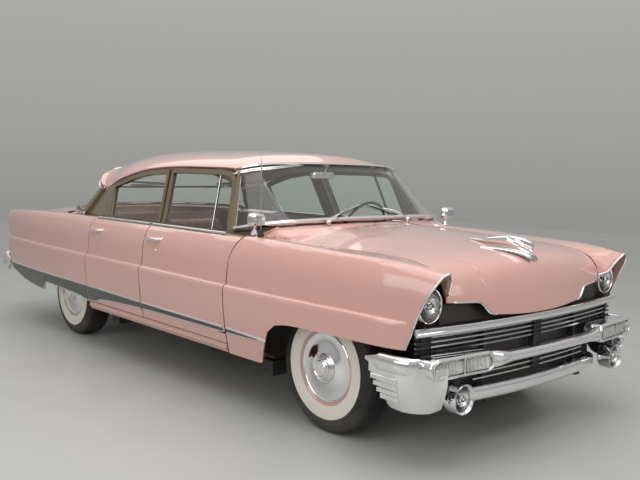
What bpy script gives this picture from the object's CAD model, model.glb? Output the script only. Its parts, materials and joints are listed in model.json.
import json
import math

import bmesh
import bpy
from mathutils import Matrix, Vector
from mathutils.bvhtree import BVHTree


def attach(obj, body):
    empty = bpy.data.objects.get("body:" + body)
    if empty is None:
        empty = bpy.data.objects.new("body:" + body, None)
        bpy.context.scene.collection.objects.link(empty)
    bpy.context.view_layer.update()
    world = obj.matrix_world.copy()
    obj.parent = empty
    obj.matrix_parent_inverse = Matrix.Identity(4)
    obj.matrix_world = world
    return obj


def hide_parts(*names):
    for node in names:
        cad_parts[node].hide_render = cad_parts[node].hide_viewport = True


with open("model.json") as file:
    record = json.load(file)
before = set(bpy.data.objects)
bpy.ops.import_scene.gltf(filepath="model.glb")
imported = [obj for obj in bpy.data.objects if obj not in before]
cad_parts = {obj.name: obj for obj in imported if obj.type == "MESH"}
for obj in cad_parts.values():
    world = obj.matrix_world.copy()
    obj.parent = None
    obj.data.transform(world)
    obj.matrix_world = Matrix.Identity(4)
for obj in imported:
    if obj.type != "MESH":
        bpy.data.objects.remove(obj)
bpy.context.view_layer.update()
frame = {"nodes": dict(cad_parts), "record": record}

NODES = frame["nodes"]
BODY_OF = {n: b for b, ns in frame["record"]["behaviour"]["bodies"].items() for n in ns}
SIDES = (("right", -1), ("left", 1))
ENDS = ("front", "rear")
BELT = 1.016
AXLE_Z = 0.36


# Shader groups

def new_group(name, inputs, outputs):
    tree = bpy.data.node_groups.new(name, "ShaderNodeTree")
    for label, kind, value in inputs:
        socket = tree.interface.new_socket(label, in_out="INPUT", socket_type=kind)
        socket.default_value = value
    for label, kind in outputs:
        tree.interface.new_socket(label, in_out="OUTPUT", socket_type=kind)
    start = tree.nodes.new("NodeGroupInput")
    end = tree.nodes.new("NodeGroupOutput")
    return tree, start, end


def add(tree, kind, **values):
    node = tree.nodes.new(kind)
    for key, value in values.items():
        if key in node.bl_rna.properties:
            setattr(node, key, value)
        else:
            node.inputs[key.replace("_", " ")].default_value = value
    return node


def link(tree, a, a_out, b, b_in):
    tree.links.new(a.outputs[a_out], b.inputs[b_in])


def mottle_group():
    """Broad uneven colour and fine grain height, in object coordinates."""
    tree, start, end = new_group(
        "surface_mottle",
        [("Colour A", "NodeSocketColor", (0.5, 0.5, 0.5, 1)),
         ("Colour B", "NodeSocketColor", (0.6, 0.6, 0.6, 1)),
         ("Broad Scale", "NodeSocketFloat", 3.0),
         ("Grain Scale", "NodeSocketFloat", 400.0)],
        [("Colour", "NodeSocketColor"), ("Grain", "NodeSocketFloat"), ("Broad", "NodeSocketFloat")])
    place = add(tree, "ShaderNodeTexCoord")
    broad = add(tree, "ShaderNodeTexNoise", Detail=4.0, Roughness=0.55)
    grain = add(tree, "ShaderNodeTexNoise", Detail=3.0, Roughness=0.6)
    mix = add(tree, "ShaderNodeMix", data_type="RGBA")
    link(tree, place, "Object", broad, "Vector")
    link(tree, place, "Object", grain, "Vector")
    link(tree, start, "Broad Scale", broad, "Scale")
    link(tree, start, "Grain Scale", grain, "Scale")
    tree.links.new(broad.outputs["Fac"], mix.inputs[0])
    tree.links.new(start.outputs["Colour A"], mix.inputs[6])
    tree.links.new(start.outputs["Colour B"], mix.inputs[7])
    tree.links.new(mix.outputs[2], end.inputs["Colour"])
    link(tree, grain, "Fac", end, "Grain")
    link(tree, broad, "Fac", end, "Broad")
    return tree


def dust_group():
    """A thin film of dust low on the body, stronger near the road."""
    tree, start, end = new_group(
        "road_dust",
        [("Colour", "NodeSocketColor", (0.5, 0.5, 0.5, 1)),
         ("Dust", "NodeSocketColor", (0.32, 0.29, 0.26, 1)),
         ("Top", "NodeSocketFloat", 0.6),
         ("Amount", "NodeSocketFloat", 0.2)],
        [("Colour", "NodeSocketColor"), ("Mask", "NodeSocketFloat")])
    place = add(tree, "ShaderNodeNewGeometry")
    split = add(tree, "ShaderNodeSeparateXYZ")
    height = add(tree, "ShaderNodeMapRange", From_Min=0.1, To_Min=1.0, To_Max=0.0)
    noise = add(tree, "ShaderNodeTexNoise", Scale=22.0, Detail=6.0, Roughness=0.65)
    both = add(tree, "ShaderNodeMath", operation="MULTIPLY")
    amount = add(tree, "ShaderNodeMath", operation="MULTIPLY", use_clamp=True)
    mix = add(tree, "ShaderNodeMix", data_type="RGBA")
    link(tree, place, "Position", split, "Vector")
    link(tree, split, "Z", height, "Value")
    link(tree, start, "Top", height, "From Max")
    tree.links.new(height.outputs[0], both.inputs[0])
    tree.links.new(noise.outputs["Fac"], both.inputs[1])
    tree.links.new(both.outputs[0], amount.inputs[0])
    tree.links.new(start.outputs["Amount"], amount.inputs[1])
    tree.links.new(amount.outputs[0], mix.inputs[0])
    tree.links.new(start.outputs["Colour"], mix.inputs[6])
    tree.links.new(start.outputs["Dust"], mix.inputs[7])
    tree.links.new(mix.outputs[2], end.inputs["Colour"])
    tree.links.new(amount.outputs[0], end.inputs["Mask"])
    return tree


def rub_group():
    """Roughness that varies with faint rub marks and smears."""
    tree, start, end = new_group(
        "rubbed_roughness",
        [("Low", "NodeSocketFloat", 0.05), ("High", "NodeSocketFloat", 0.15),
         ("Scale", "NodeSocketFloat", 12.0)],
        [("Roughness", "NodeSocketFloat")])
    place = add(tree, "ShaderNodeTexCoord")
    noise = add(tree, "ShaderNodeTexNoise", Detail=5.0, Roughness=0.6, Distortion=0.6)
    limits = add(tree, "ShaderNodeMapRange", From_Min=0.3, From_Max=0.72)
    link(tree, place, "Object", noise, "Vector")
    link(tree, start, "Scale", noise, "Scale")
    tree.links.new(noise.outputs["Fac"], limits.inputs["Value"])
    link(tree, start, "Low", limits, "To Min")
    link(tree, start, "High", limits, "To Max")
    tree.links.new(limits.outputs[0], end.inputs["Roughness"])
    return tree


MOTTLE = mottle_group()
DUST = dust_group()
RUB = rub_group()


def finish_of(name, **constants):
    """A material with one Principled shader whose constant sockets are set directly."""
    mat = bpy.data.materials.new(name)
    mat.use_nodes = True
    tree = mat.node_tree
    shader = tree.nodes["Principled BSDF"]
    for key, value in constants.items():
        shader.inputs[key.replace("_", " ")].default_value = value
    return mat, tree, shader


def use(tree, group, **values):
    node = tree.nodes.new("ShaderNodeGroup")
    node.node_tree = group
    for key, value in values.items():
        node.inputs[key.replace("_", " ")].default_value = value
    return node


def bump(tree, source, output, shader, strength, distance):
    node = add(tree, "ShaderNodeBump", Strength=strength, Distance=distance)
    tree.links.new(source.outputs[output], node.inputs["Height"])
    tree.links.new(node.outputs["Normal"], shader.inputs["Normal"])
    return node


def mottled(name, a, b, low, high, grain=(400.0, 0.1, 0.0005), broad=3.0, dust=None, rub=12.0, **constants):
    """A finish whose colour drifts between two tones, with grain in its height and rubbed gloss."""
    mat, tree, shader = finish_of(name, **constants)
    tone = use(tree, MOTTLE, Colour_A=(*a, 1), Colour_B=(*b, 1), Broad_Scale=broad, Grain_Scale=grain[0])
    gloss = use(tree, RUB, Low=low, High=high, Scale=rub)
    last = tone
    if dust:
        last = use(tree, DUST, Top=dust[0], Amount=dust[1])
        link(tree, tone, "Colour", last, "Colour")
    link(tree, last, "Colour", shader, "Base Color")
    link(tree, gloss, "Roughness", shader, "Roughness")
    bump(tree, tone, "Grain", shader, grain[1], grain[2])
    return mat


PAINT = mottled("pink_enamel", (0.615, 0.345, 0.298), (0.635, 0.362, 0.314), 0.16, 0.24,
                (140.0, 0.04, 0.0004), 1.6, (0.5, 0.16), Coat_Weight=1.0, Coat_Roughness=0.035,
                Specular_IOR_Level=0.5)
BRONZE = mottled("satin_bronze", (0.235, 0.185, 0.128), (0.275, 0.215, 0.15), 0.26, 0.4,
                 (900.0, 0.08, 0.0003), 6.0, Metallic=0.75)
CHROME = mottled("chrome_plate", (0.82, 0.82, 0.83), (0.88, 0.88, 0.89), 0.03, 0.085,
                 (60.0, 0.015, 0.0004), 5.0, None, 9.0, Metallic=1.0)
DULL = mottled("dull_bright_metal", (0.45, 0.46, 0.46), (0.55, 0.56, 0.55), 0.22, 0.36,
               (300.0, 0.1, 0.0003), 5.0, Metallic=1.0)
BRUSHED = mottled("brushed_grey_band", (0.135, 0.148, 0.135), (0.165, 0.178, 0.163), 0.24, 0.34,
                  (500.0, 0.02, 0.0002), 4.0, (0.5, 0.05), Metallic=0.85)
BLACK = mottled("black_enamel", (0.008, 0.008, 0.008), (0.014, 0.014, 0.014), 0.3, 0.5,
                (300.0, 0.15, 0.0004), 5.0, (0.7, 0.35))
CHASSIS = mottled("chassis_black", (0.012, 0.012, 0.012), (0.03, 0.027, 0.024), 0.55, 0.8,
                  (120.0, 0.3, 0.002), 4.0, (0.6, 0.12))
RUBBER = mottled("gasket_rubber", (0.01, 0.01, 0.01), (0.02, 0.02, 0.02), 0.5, 0.7,
                 (700.0, 0.2, 0.0004), 8.0)
TYRE = mottled("tyre_rubber", (0.012, 0.012, 0.012), (0.022, 0.021, 0.02), 0.55, 0.8,
               (350.0, 0.25, 0.0006), 6.0, (0.2, 0.25))
WHITEWALL = mottled("whitewall", (0.70, 0.67, 0.60), (0.78, 0.75, 0.68), 0.45, 0.62,
                    (420.0, 0.12, 0.0003), 7.0, (0.3, 0.12))
LEATHER = mottled("rose_leather", (0.36, 0.145, 0.15), (0.43, 0.18, 0.185), 0.34, 0.52,
                  (260.0, 0.35, 0.0008), 9.0, Sheen_Weight=0.15)
PALE_LEATHER = mottled("pale_rose_leather", (0.42, 0.24, 0.225), (0.5, 0.3, 0.28), 0.36, 0.55,
                       (260.0, 0.35, 0.0008), 9.0)
CARPET = mottled("carpet", (0.09, 0.045, 0.045), (0.15, 0.075, 0.07), 0.9, 1.0,
                 (900.0, 0.9, 0.003), 40.0, Sheen_Weight=0.3)
LINING = mottled("head_lining", (0.52, 0.47, 0.42), (0.6, 0.55, 0.5), 0.85, 0.95,
                 (700.0, 0.5, 0.001), 10.0)
ROSE_RECESS = mottled("rose_recess", (0.155, 0.05, 0.042), (0.2, 0.07, 0.06), 0.3, 0.45,
                      (200.0, 0.1, 0.0004), 5.0, Coat_Weight=0.4)


def glass_finish(name, colour, roughness=0.0, shade=(0.75, 0.82, 0.78), ribs=None):
    """Clear glass that lets lamp light through to what lies behind it."""
    mat, tree, shader = finish_of(name, Base_Color=(*colour, 1), Roughness=roughness, IOR=1.45,
                                  Transmission_Weight=1.0)
    if ribs:
        place = add(tree, "ShaderNodeTexCoord")
        wave = add(tree, "ShaderNodeTexWave", bands_direction=ribs[0], Scale=ribs[1])
        link(tree, place, "Object", wave, "Vector")
        bump(tree, wave, "Fac", shader, 0.6, ribs[2])
    clear = add(tree, "ShaderNodeBsdfTransparent", Color=(*shade, 1))
    path = add(tree, "ShaderNodeLightPath")
    mix = add(tree, "ShaderNodeMixShader")
    out = tree.nodes["Material Output"]
    link(tree, path, "Is Shadow Ray", mix, "Fac")
    tree.links.new(shader.outputs[0], mix.inputs[1])
    tree.links.new(clear.outputs[0], mix.inputs[2])
    tree.links.new(mix.outputs[0], out.inputs["Surface"])
    return mat


GLASS = glass_finish("green_tint_glass", (0.90, 0.96, 0.92))
RED_LENS = glass_finish("red_lens", (0.62, 0.012, 0.012), 0.05, (0.6, 0.05, 0.05))


def mesh_screen():
    """Fine black screen with square openings, as height and tone."""
    mat, tree, shader = finish_of("black_screen", Metallic=0.3)
    place = add(tree, "ShaderNodeTexCoord")
    brick = add(tree, "ShaderNodeTexBrick", Scale=62.0, Color1=(0.006, 0.005, 0.005, 1),
                Color2=(0.008, 0.007, 0.007, 1), Mortar=(0.05, 0.042, 0.04, 1), offset=0.0)
    brick.inputs["Mortar Size"].default_value = 0.16
    brick.inputs["Brick Width"].default_value = 0.5
    brick.inputs["Row Height"].default_value = 0.5
    split = add(tree, "ShaderNodeSeparateXYZ")
    turn = add(tree, "ShaderNodeCombineXYZ")
    gloss = use(tree, RUB, Low=0.35, High=0.5, Scale=20.0)
    link(tree, place, "Object", split, "Vector")
    link(tree, split, "Y", turn, "X")
    link(tree, split, "Z", turn, "Y")
    link(tree, turn, "Vector", brick, "Vector")
    link(tree, brick, "Color", shader, "Base Color")
    link(tree, gloss, "Roughness", shader, "Roughness")
    bump(tree, brick, "Fac", shader, 0.7, 0.002)
    return mat


SCREEN = mesh_screen()


# Mesh makers

SAME_POINT = 2e-5
SOFT_CREASE = 0.35


def dress(name, mesh, mats, body, smooth=40, replaces=(), slot=None, turn=True):
    """One piece from a mesh, shaded smooth up to an angle, riding on a body."""
    for mat in mats:
        mesh.materials.append(mat)
    mesh.validate()
    bm = bmesh.new()
    bm.from_mesh(mesh)
    if turn:
        bmesh.ops.recalc_face_normals(bm, faces=bm.faces)
    limit = math.radians(smooth)
    for f in bm.faces:
        f.smooth = True
    for e in bm.edges:
        e.smooth = len(e.link_faces) == 2 and e.calc_face_angle(0) < limit
    bm.to_mesh(mesh)
    bm.free()
    obj = bpy.data.objects.new(name, mesh)
    bpy.context.scene.collection.objects.link(obj)
    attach(obj, body)
    if replaces:
        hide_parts(*replaces)
    return obj


def copy_panel(node, name, mats, slot, mat_of=None, levels=2, sharp=28, soft=None):
    """A fine copy of a CAD panel: its facets joined to quads and subdivided between its sharp edges."""
    bm = bmesh.new()
    bm.from_mesh(NODES[node].data)
    bmesh.ops.remove_doubles(bm, verts=bm.verts, dist=SAME_POINT)
    bmesh.ops.join_triangles(bm, faces=bm.faces, angle_face_threshold=math.radians(24),
                             angle_shape_threshold=math.radians(60), cmp_sharp=False)
    crease = bm.edges.layers.float.new("crease_edge")
    limit = math.radians(sharp)
    for e in bm.edges:
        if len(e.link_faces) != 2 or e.calc_face_angle(0) > limit:
            e[crease] = SOFT_CREASE if soft and soft((e.verts[0].co + e.verts[1].co) / 2) else 1.0
    mesh = bpy.data.meshes.new(name)
    bm.to_mesh(mesh)
    bm.free()
    obj = dress(name, mesh, mats, BODY_OF[node], sharp + 6, (node,), slot, turn=False)
    if levels:
        sub = obj.modifiers.new("fine", "SUBSURF")
        sub.levels = levels
        sub.render_levels = levels
        bpy.context.view_layer.update()
        fine = bpy.data.meshes.new_from_object(obj.evaluated_get(bpy.context.evaluated_depsgraph_get()))
        obj.modifiers.clear()
        obj.data = fine
    if mat_of:
        for poly in obj.data.polygons:
            poly.material_index = mat_of(poly.center, poly.normal)
    return obj


def frame_along(path, normals, closed=False):
    """Side and normal directions at each point of a path."""
    n = len(path)
    out = []
    for i, p in enumerate(path):
        a = path[i - 1] if i or closed else path[0]
        b = path[(i + 1) % n] if i < n - 1 or closed else path[-1]
        t = (b - a).normalized()
        nor = normals[i] if isinstance(normals, list) else Vector(normals)
        side = t.cross(nor).normalized()
        out.append((p, side, side.cross(t).normalized()))
    return out


def loft_data(rows, closed=False):
    """Points and faces over rows of points; open ends are capped."""
    n, m = len(rows), len(rows[0])
    verts = [v for r in rows for v in r]
    faces = []
    for i in range(n if closed else n - 1):
        for j in range(m):
            a, b = i * m + j, i * m + (j + 1) % m
            c, d = ((i + 1) % n) * m + (j + 1) % m, ((i + 1) % n) * m + j
            faces.append((a, b, c, d))
    if not closed:
        faces.append(tuple(reversed(range(m))))
        faces.append(tuple((n - 1) * m + j for j in range(m)))
    return verts, faces


def strip_data(path, normals, outline, closed=False):
    """An outline of (across, out) points carried along a path that lies on a surface."""
    frames = frame_along(path, normals, closed)
    return loft_data([[p + side * a + nor * b for a, b in outline] for p, side, nor in frames], closed)


def merged(name, sets, mats, body, smooth=40, **more):
    """Several point-and-face sets as one piece; a set may carry its own finish number."""
    verts, faces, marks = [], [], []
    for item in sets:
        base = len(verts)
        verts += [Vector(v) for v in item[0]]
        faces += [tuple(i + base for i in f) for f in item[1]]
        marks += [item[2] if len(item) > 2 else 0] * len(item[1])
    mesh = bpy.data.meshes.new(name)
    mesh.from_pydata([tuple(v) for v in verts], [], faces)
    for poly, mark in zip(mesh.polygons, marks):
        poly.material_index = mark
    return dress(name, mesh, mats, body, smooth, **more)


def loft(name, rows, mats, body, smooth=40, **more):
    return merged(name, [loft_data(rows)], mats, body, smooth, **more)


def lathe_data(profile, origin, axis, steps=64, closed=False):
    """Points (along, radius) turned round an axis; radius 0 closes to a point."""
    origin, axis = Vector(origin), Vector(axis).normalized()
    u = axis.orthogonal().normalized()
    v = axis.cross(u)
    verts, faces, rings = [], [], []
    for h, r in profile:
        if r < 1e-7:
            verts.append(origin + axis * h)
            rings.append([len(verts) - 1])
            continue
        ring = []
        for k in range(steps):
            t = 2 * math.pi * k / steps
            verts.append(origin + axis * h + (u * math.cos(t) + v * math.sin(t)) * r)
            ring.append(len(verts) - 1)
        rings.append(ring)
    pairs = list(zip(rings, rings[1:]))
    if closed:
        pairs.append((rings[-1], rings[0]))
    for a, b in pairs:
        for k in range(steps):
            q = [a[k % len(a)], a[(k + 1) % len(a)], b[(k + 1) % len(b)], b[k % len(b)]]
            face = tuple(dict.fromkeys(q))
            if len(face) > 2:
                faces.append(face)
    return verts, faces


def ring(radius, steps=12):
    return [(radius * math.cos(2 * math.pi * k / steps), radius * math.sin(2 * math.pi * k / steps))
            for k in range(steps)]


def tube_data(path, radius, steps=12, up=(0, 0, 1)):
    return strip_data([Vector(p) for p in path], up, ring(radius, steps))


def rounded(w, h, r, steps=5):
    """A rounded rectangle's outline, w wide and h high about its centre."""
    out = []
    for cx, cy, start in ((w / 2 - r, h / 2 - r, 0), (r - w / 2, h / 2 - r, 90),
                          (r - w / 2, r - h / 2, 180), (w / 2 - r, r - h / 2, 270)):
        for k in range(steps + 1):
            t = math.radians(start + 90 * k / steps)
            out.append((cx + r * math.cos(t), cy + r * math.sin(t)))
    return out


def mix(a, b, t):
    return a + (b - a) * t


def held(v):
    """A value held between 0 and 1."""
    return max(0.0, min(1.0, v))


def spread(n, a=0.0, b=1.0):
    """Even steps from a to b."""
    return [mix(a, b, i / n) for i in range(n + 1)]


def eased(path, times=3):
    """A path with its kinks smoothed out and its ends held."""
    for _ in range(times):
        middle = [(a + 2 * b + c) / 4 for a, b, c in zip(path, path[1:], path[2:])]
        path = [path[0]] + middle + [path[-1]]
    return path


def half_round(a, b, steps, dip):
    """Outline of a bead: a half round a wide each way and b high, with a foot below it."""
    arc = [math.pi * k / steps for k in range(steps + 1)]
    return [(a * math.cos(t), b * math.sin(t)) for t in arc] + [(-a, dip), (a, dip)]


def spline(points, x):
    """Smooth value at x through (x, value) points in rising order."""
    if x <= points[0][0]:
        return points[0][1]
    for i in range(len(points) - 1):
        (x0, y0), (x1, y1) = points[i], points[i + 1]
        if x <= x1:
            s = (y1 - y0) / (x1 - x0)
            m0 = s if i == 0 else (y1 - points[i - 1][1]) / (x1 - points[i - 1][0])
            m1 = s if i == len(points) - 2 else (points[i + 2][1] - y0) / (points[i + 2][0] - x0)
            t, h = (x - x0) / (x1 - x0), x1 - x0
            return ((2 * t ** 3 - 3 * t * t + 1) * y0 + (t ** 3 - 2 * t * t + t) * h * m0
                    + (3 * t * t - 2 * t ** 3) * y1 + (t ** 3 - t * t) * h * m1)
    return points[-1][1]


class Skin:
    """Finds the surface of some CAD nodes from outside."""

    def __init__(self, *nodes):
        verts, faces = [], []
        for n in nodes:
            mesh, base = NODES[n].data, len(verts)
            verts += [v.co.copy() for v in mesh.vertices]
            faces += [tuple(i + base for i in p.vertices) for p in mesh.polygons]
        self.tree = BVHTree.FromPolygons(verts, faces)

    def hit(self, start, way):
        place, normal, _, _ = self.tree.ray_cast(Vector(start), Vector(way))
        if place is None:
            return None
        return place, normal if normal.dot(Vector(way)) < 0 else -normal


# Painted panels

PULL_X = ((0.235, 0.425), (-0.625, -0.435))
PULL_Y, PULL_LOW, PULL_HIGH = 0.9725, 0.92, 0.955


def door_parts(centre, normal):
    """0 paint, 1 bronze window frame, 2 bright handle, 3 inner lining"""
    if centre.z > BELT + 0.001:
        return 1
    at_pull = any(a < centre.x < b for a, b in PULL_X)
    if at_pull and PULL_LOW < centre.z < PULL_HIGH and abs(centre.y) > PULL_Y:
        return 2
    if abs(centre.y) < 0.9 and normal.y * centre.y < 0 and abs(normal.y) > 0.5:
        return 3
    return 0


def hood_front(p):
    """Where the hood's lower front edge is let go round."""
    return p.x > 2.6 and 0.36 < abs(p.y) < 0.62 and p.z < 0.83


SIDE_SHARP, TOP_SHARP = 15, 28
PANEL = {}
for node in ("fender_right", "fender_left", "quarter_right", "quarter_left", "hood", "deck_lid",
             "cowl", "rear_body"):
    side_panel = node.startswith(("fender", "quarter"))
    PANEL[node] = copy_panel(node, "panel_" + node, [PAINT], "paint", None, 0 if node == "cowl" else 2,
                             SIDE_SHARP if side_panel else TOP_SHARP, hood_front if node == "hood" else None)
for end in ENDS:
    for side, s in SIDES:
        node = f"door_{end}_{side}"
        copy_panel(node, "panel_" + node, [PAINT, BRONZE, CHROME, PALE_LEATHER], "paint", door_parts, 2,
                   SIDE_SHARP)
copy_panel("roof", "panel_roof", [PAINT, LINING], "paint",
           lambda c, n: 1 if n.z < -0.2 and abs(c.y) < 0.66 and -0.95 < c.x < 0.93 else 0)
copy_panel("floor", "panel_floor", [CHASSIS, PAINT], "chassis",
           lambda c, n: 1 if abs(c.y) > 0.79 and c.z < 0.41 and -0.75 < c.x < 1.23 else 0, 0)
copy_panel("windshield", "pane_windshield", [GLASS], "glass", None, 1)
copy_panel("rear_window_frame", "frame_rear_window", [BRONZE], "bronze", None, 0, 44)
copy_panel("windshield_frame", "frame_windshield", [CHROME, BRONZE], "bronze",
           lambda c, n: 1 if abs(c.y) > 0.69 and 1.13 < c.z < 1.43 else 0, 0)
copy_panel("rear_window", "pane_rear_window", [GLASS], "glass", None, 1)

FINISH_OF_NODE = {
    "frame": CHASSIS, "pillars": BRONZE, "lamp_buckets": ROSE_RECESS, "tail_lamps": RED_LENS,
    "mirrors": CHROME, "wipers": CHROME, "antenna": CHROME, "hood_ornament": CHROME,
    "dashboard": PALE_LEATHER, "steering_wheel": BLACK, "front_seat": LEATHER, "rear_seat": LEATHER,
    "engine": CHASSIS, "exhaust": DULL, "front_suspension": CHASSIS, "knuckle_right": CHASSIS,
    "knuckle_left": CHASSIS, "rear_axle": CHASSIS,
}
for end in ENDS:
    for side, s in SIDES:
        FINISH_OF_NODE[f"glass_{end}_{side}"] = GLASS
for node, finish in FINISH_OF_NODE.items():
    mesh = NODES[node].data
    mesh.materials.clear()
    mesh.materials.append(finish)


SKIN = Skin("fender_right", "door_front_right", "door_rear_right", "quarter_right")


def on_side(x, z):
    """Point and normal of the right body side at a length and height."""
    found = SKIN.hit((x, -1.4, z), (0, 1, 0))
    if not found or found[0].y > -0.7:
        return None
    return found


def flip(verts, s):
    """Points of the right side, or mirrored to the left for s = 1."""
    return [Vector((v[0], v[1] if s < 0 else -v[1], v[2])) for v in verts]


def pair(name, sets, mats, body="body", smooth=40, **more):
    """A piece on the right side and its mirror image on the left."""
    out = []
    for side, s in SIDES:
        turned = [(flip(d[0], s), *d[1:]) for d in sets]
        out.append(merged(f"{name}_{side}", turned, mats, body.format(side), smooth, **more))
    return out


# Wheels

TRACK_Y = -0.743
AXLE_X = {"front": 1.935, "rear": -1.265}
WHITE_ROWS = range(1, 10)


def tyre_sets(x, y):
    """Sidewalls with a wide white band and a ribbed tread with zigzag edges; outward is -Y."""
    steps = 180
    half, outer, base = 0.1024, 0.360, 0.1915
    groove, zag, slope = 0.0085, 0.0022, 0.0012
    wall = [(0.084, base, 0), (0.0880, 0.200, 0), (0.0905, 0.207, 0), (0.0935, 0.2085, 0), (0.0965, 0.2115, 0),
            (0.0992, 0.225, 0), (0.1012, 0.245, 0), (0.1020, 0.262, 0), (0.1022, 0.2775, 0), (0.1023, 0.2805, 0),
            (0.1005, 0.2822, 0), (0.1003, 0.300, 0), (0.0965, 0.322, 0), (0.0895, 0.339, 0), (0.0845, 0.3465, 0),
            (0.0815, 0.3475, 0.002), (0.0765, 0.3535, 0.002)]
    ribs = ((0.0765, 0.0465), (0.0395, 0.0175), (0.0105, -0.0105), (-0.0175, -0.0395), (-0.0465, -0.0765))
    rows = wall[:]
    for i, (a, b) in enumerate(ribs):
        ra, rb = outer - 0.6 * a * a, outer - 0.6 * b * b
        if i:
            rows += [(a + slope, ra - groove, zag), (a, ra, zag)]
        rows += [(b, rb, zag)]
        if i < len(ribs) - 1:
            rows += [(b - slope, rb - groove, zag)]
    rows += [(-o, r, w) for o, r, w in reversed(wall)]
    verts, faces, marks = [], [], []
    m = len(rows)
    for k in range(steps):
        t = 2 * math.pi * k / steps
        zig = (1 if k % 2 else -1)
        for o, r, w in rows:
            verts.append(Vector((x + r * math.cos(t), y - min(half, o + zig * w), AXLE_Z + r * math.sin(t))))
    for k in range(steps):
        for j in range(m):
            a, b = k * m + j, k * m + (j + 1) % m
            c, d = ((k + 1) % steps) * m + (j + 1) % m, ((k + 1) % steps) * m + j
            faces.append((a, b, c, d))
            marks.append(j in WHITE_ROWS)
    white = [f for f, k in zip(faces, marks) if k]
    black = [f for f, k in zip(faces, marks) if not k]
    return verts, black, white


def wheel_sets(x, y):
    """Painted rim, a smooth bright disc with a stepped cup, and its back; outward is -Y."""
    hub = (x, y, AXLE_Z)
    out = (0, -1, 0)
    rim = lathe_data([(-0.079, 0.176), (-0.082, 0.1895), (0.064, 0.1895), (0.084, 0.2060), (0.0920, 0.2085),
                      (0.0945, 0.2072), (0.0935, 0.201), (0.080, 0.189), (0.072, 0.184), (0.066, 0.178),
                      (-0.014, 0.176)], hub, out, 96, True)
    profile = [(0.078, 0.1925), (0.0850, 0.1920), (0.0868, 0.1890), (0.0855, 0.1845), (0.0825, 0.1810),
               (0.0825, 0.172), (0.0830, 0.150), (0.0880, 0.128), (0.0945, 0.104), (0.0985, 0.090),
               (0.0975, 0.086), (0.0935, 0.0835),
               (0.0935, 0.0800), (0.1040, 0.0780), (0.1060, 0.0760), (0.1040, 0.0725), (0.1045, 0.0700),
               (0.1130, 0.0685), (0.1150, 0.0665), (0.1130, 0.0635), (0.1135, 0.0610), (0.1220, 0.0595),
               (0.1240, 0.0575), (0.1215, 0.0540), (0.1225, 0.0470), (0.1300, 0.0450), (0.1325, 0.0420),
               (0.1310, 0.0390), (0.1330, 0.020), (0.1338, 0.0)]
    disc = lathe_data(profile, hub, out, 120)
    back = lathe_data([(0.0785, 0.1925), (0.060, 0.170), (0.052, 0.10), (0.052, 0.032)], hub, out, 64)
    return rim, disc, back


for end in ENDS:
    for side, s in SIDES:
        x, y = AXLE_X[end], TRACK_Y
        verts, black, white = tyre_sets(x, y)
        verts = flip(verts, s)
        tyre = f"tyre_{end}_{side}"
        merged("dressed_" + tyre, [(verts, black, 0)], [TYRE], BODY_OF[tyre], 32, replaces=(tyre,),
               slot="tyre")
        used = sorted({i for f in white for i in f})
        back = {i: k for k, i in enumerate(used)}
        band = [verts[i] for i in used]
        merged(f"whitewall_{end}_{side}", [(band, [tuple(back[i] for i in f) for f in white], 0)],
               [WHITEWALL], BODY_OF[tyre], 32, slot="tyre")
        rim, disc, inner = wheel_sets(x, y)
        wheel = f"wheel_{end}_{side}"
        merged(f"rim_{end}_{side}", [(flip(rim[0], s), rim[1])], [PAINT], BODY_OF[wheel], 35, slot="paint")
        merged(f"disc_{end}_{side}", [(flip(disc[0], s), disc[1]), (flip(inner[0], s), inner[1], 1)],
               [CHROME, CHASSIS], BODY_OF[wheel], 28, replaces=(wheel,), slot="chrome")


# Bright bead and ribbed grey cladding low on the sides

CLAD_TOP = [(-2.36, 0.517), (-1.61, 0.511), (-0.66, 0.504), (0.18, 0.490), (1.21, 0.479), (1.58, 0.466)]
CLAD_LOW = [(-0.47, 0.415), (-0.25, 0.432), (0.20, 0.446), (1.21, 0.452), (1.50, 0.455), (1.58, 0.460)]


def lower_edge(x):
    """Lowest height at which the body side is met, at a length."""
    z = 0.30
    while z < 0.52:
        if on_side(x, z):
            return z
        z += 0.004
    return 0.5


def clad_low(x):
    """The cladding ends at the panel's lower edge behind the rear door's step, and at a line before it."""
    edge = lower_edge(x) + 0.004
    if x < -0.47:
        return max(edge, mix(0.30, 0.415, held((x + 0.68) / 0.21)))
    return max(edge, spline(CLAD_LOW, x))


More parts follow.
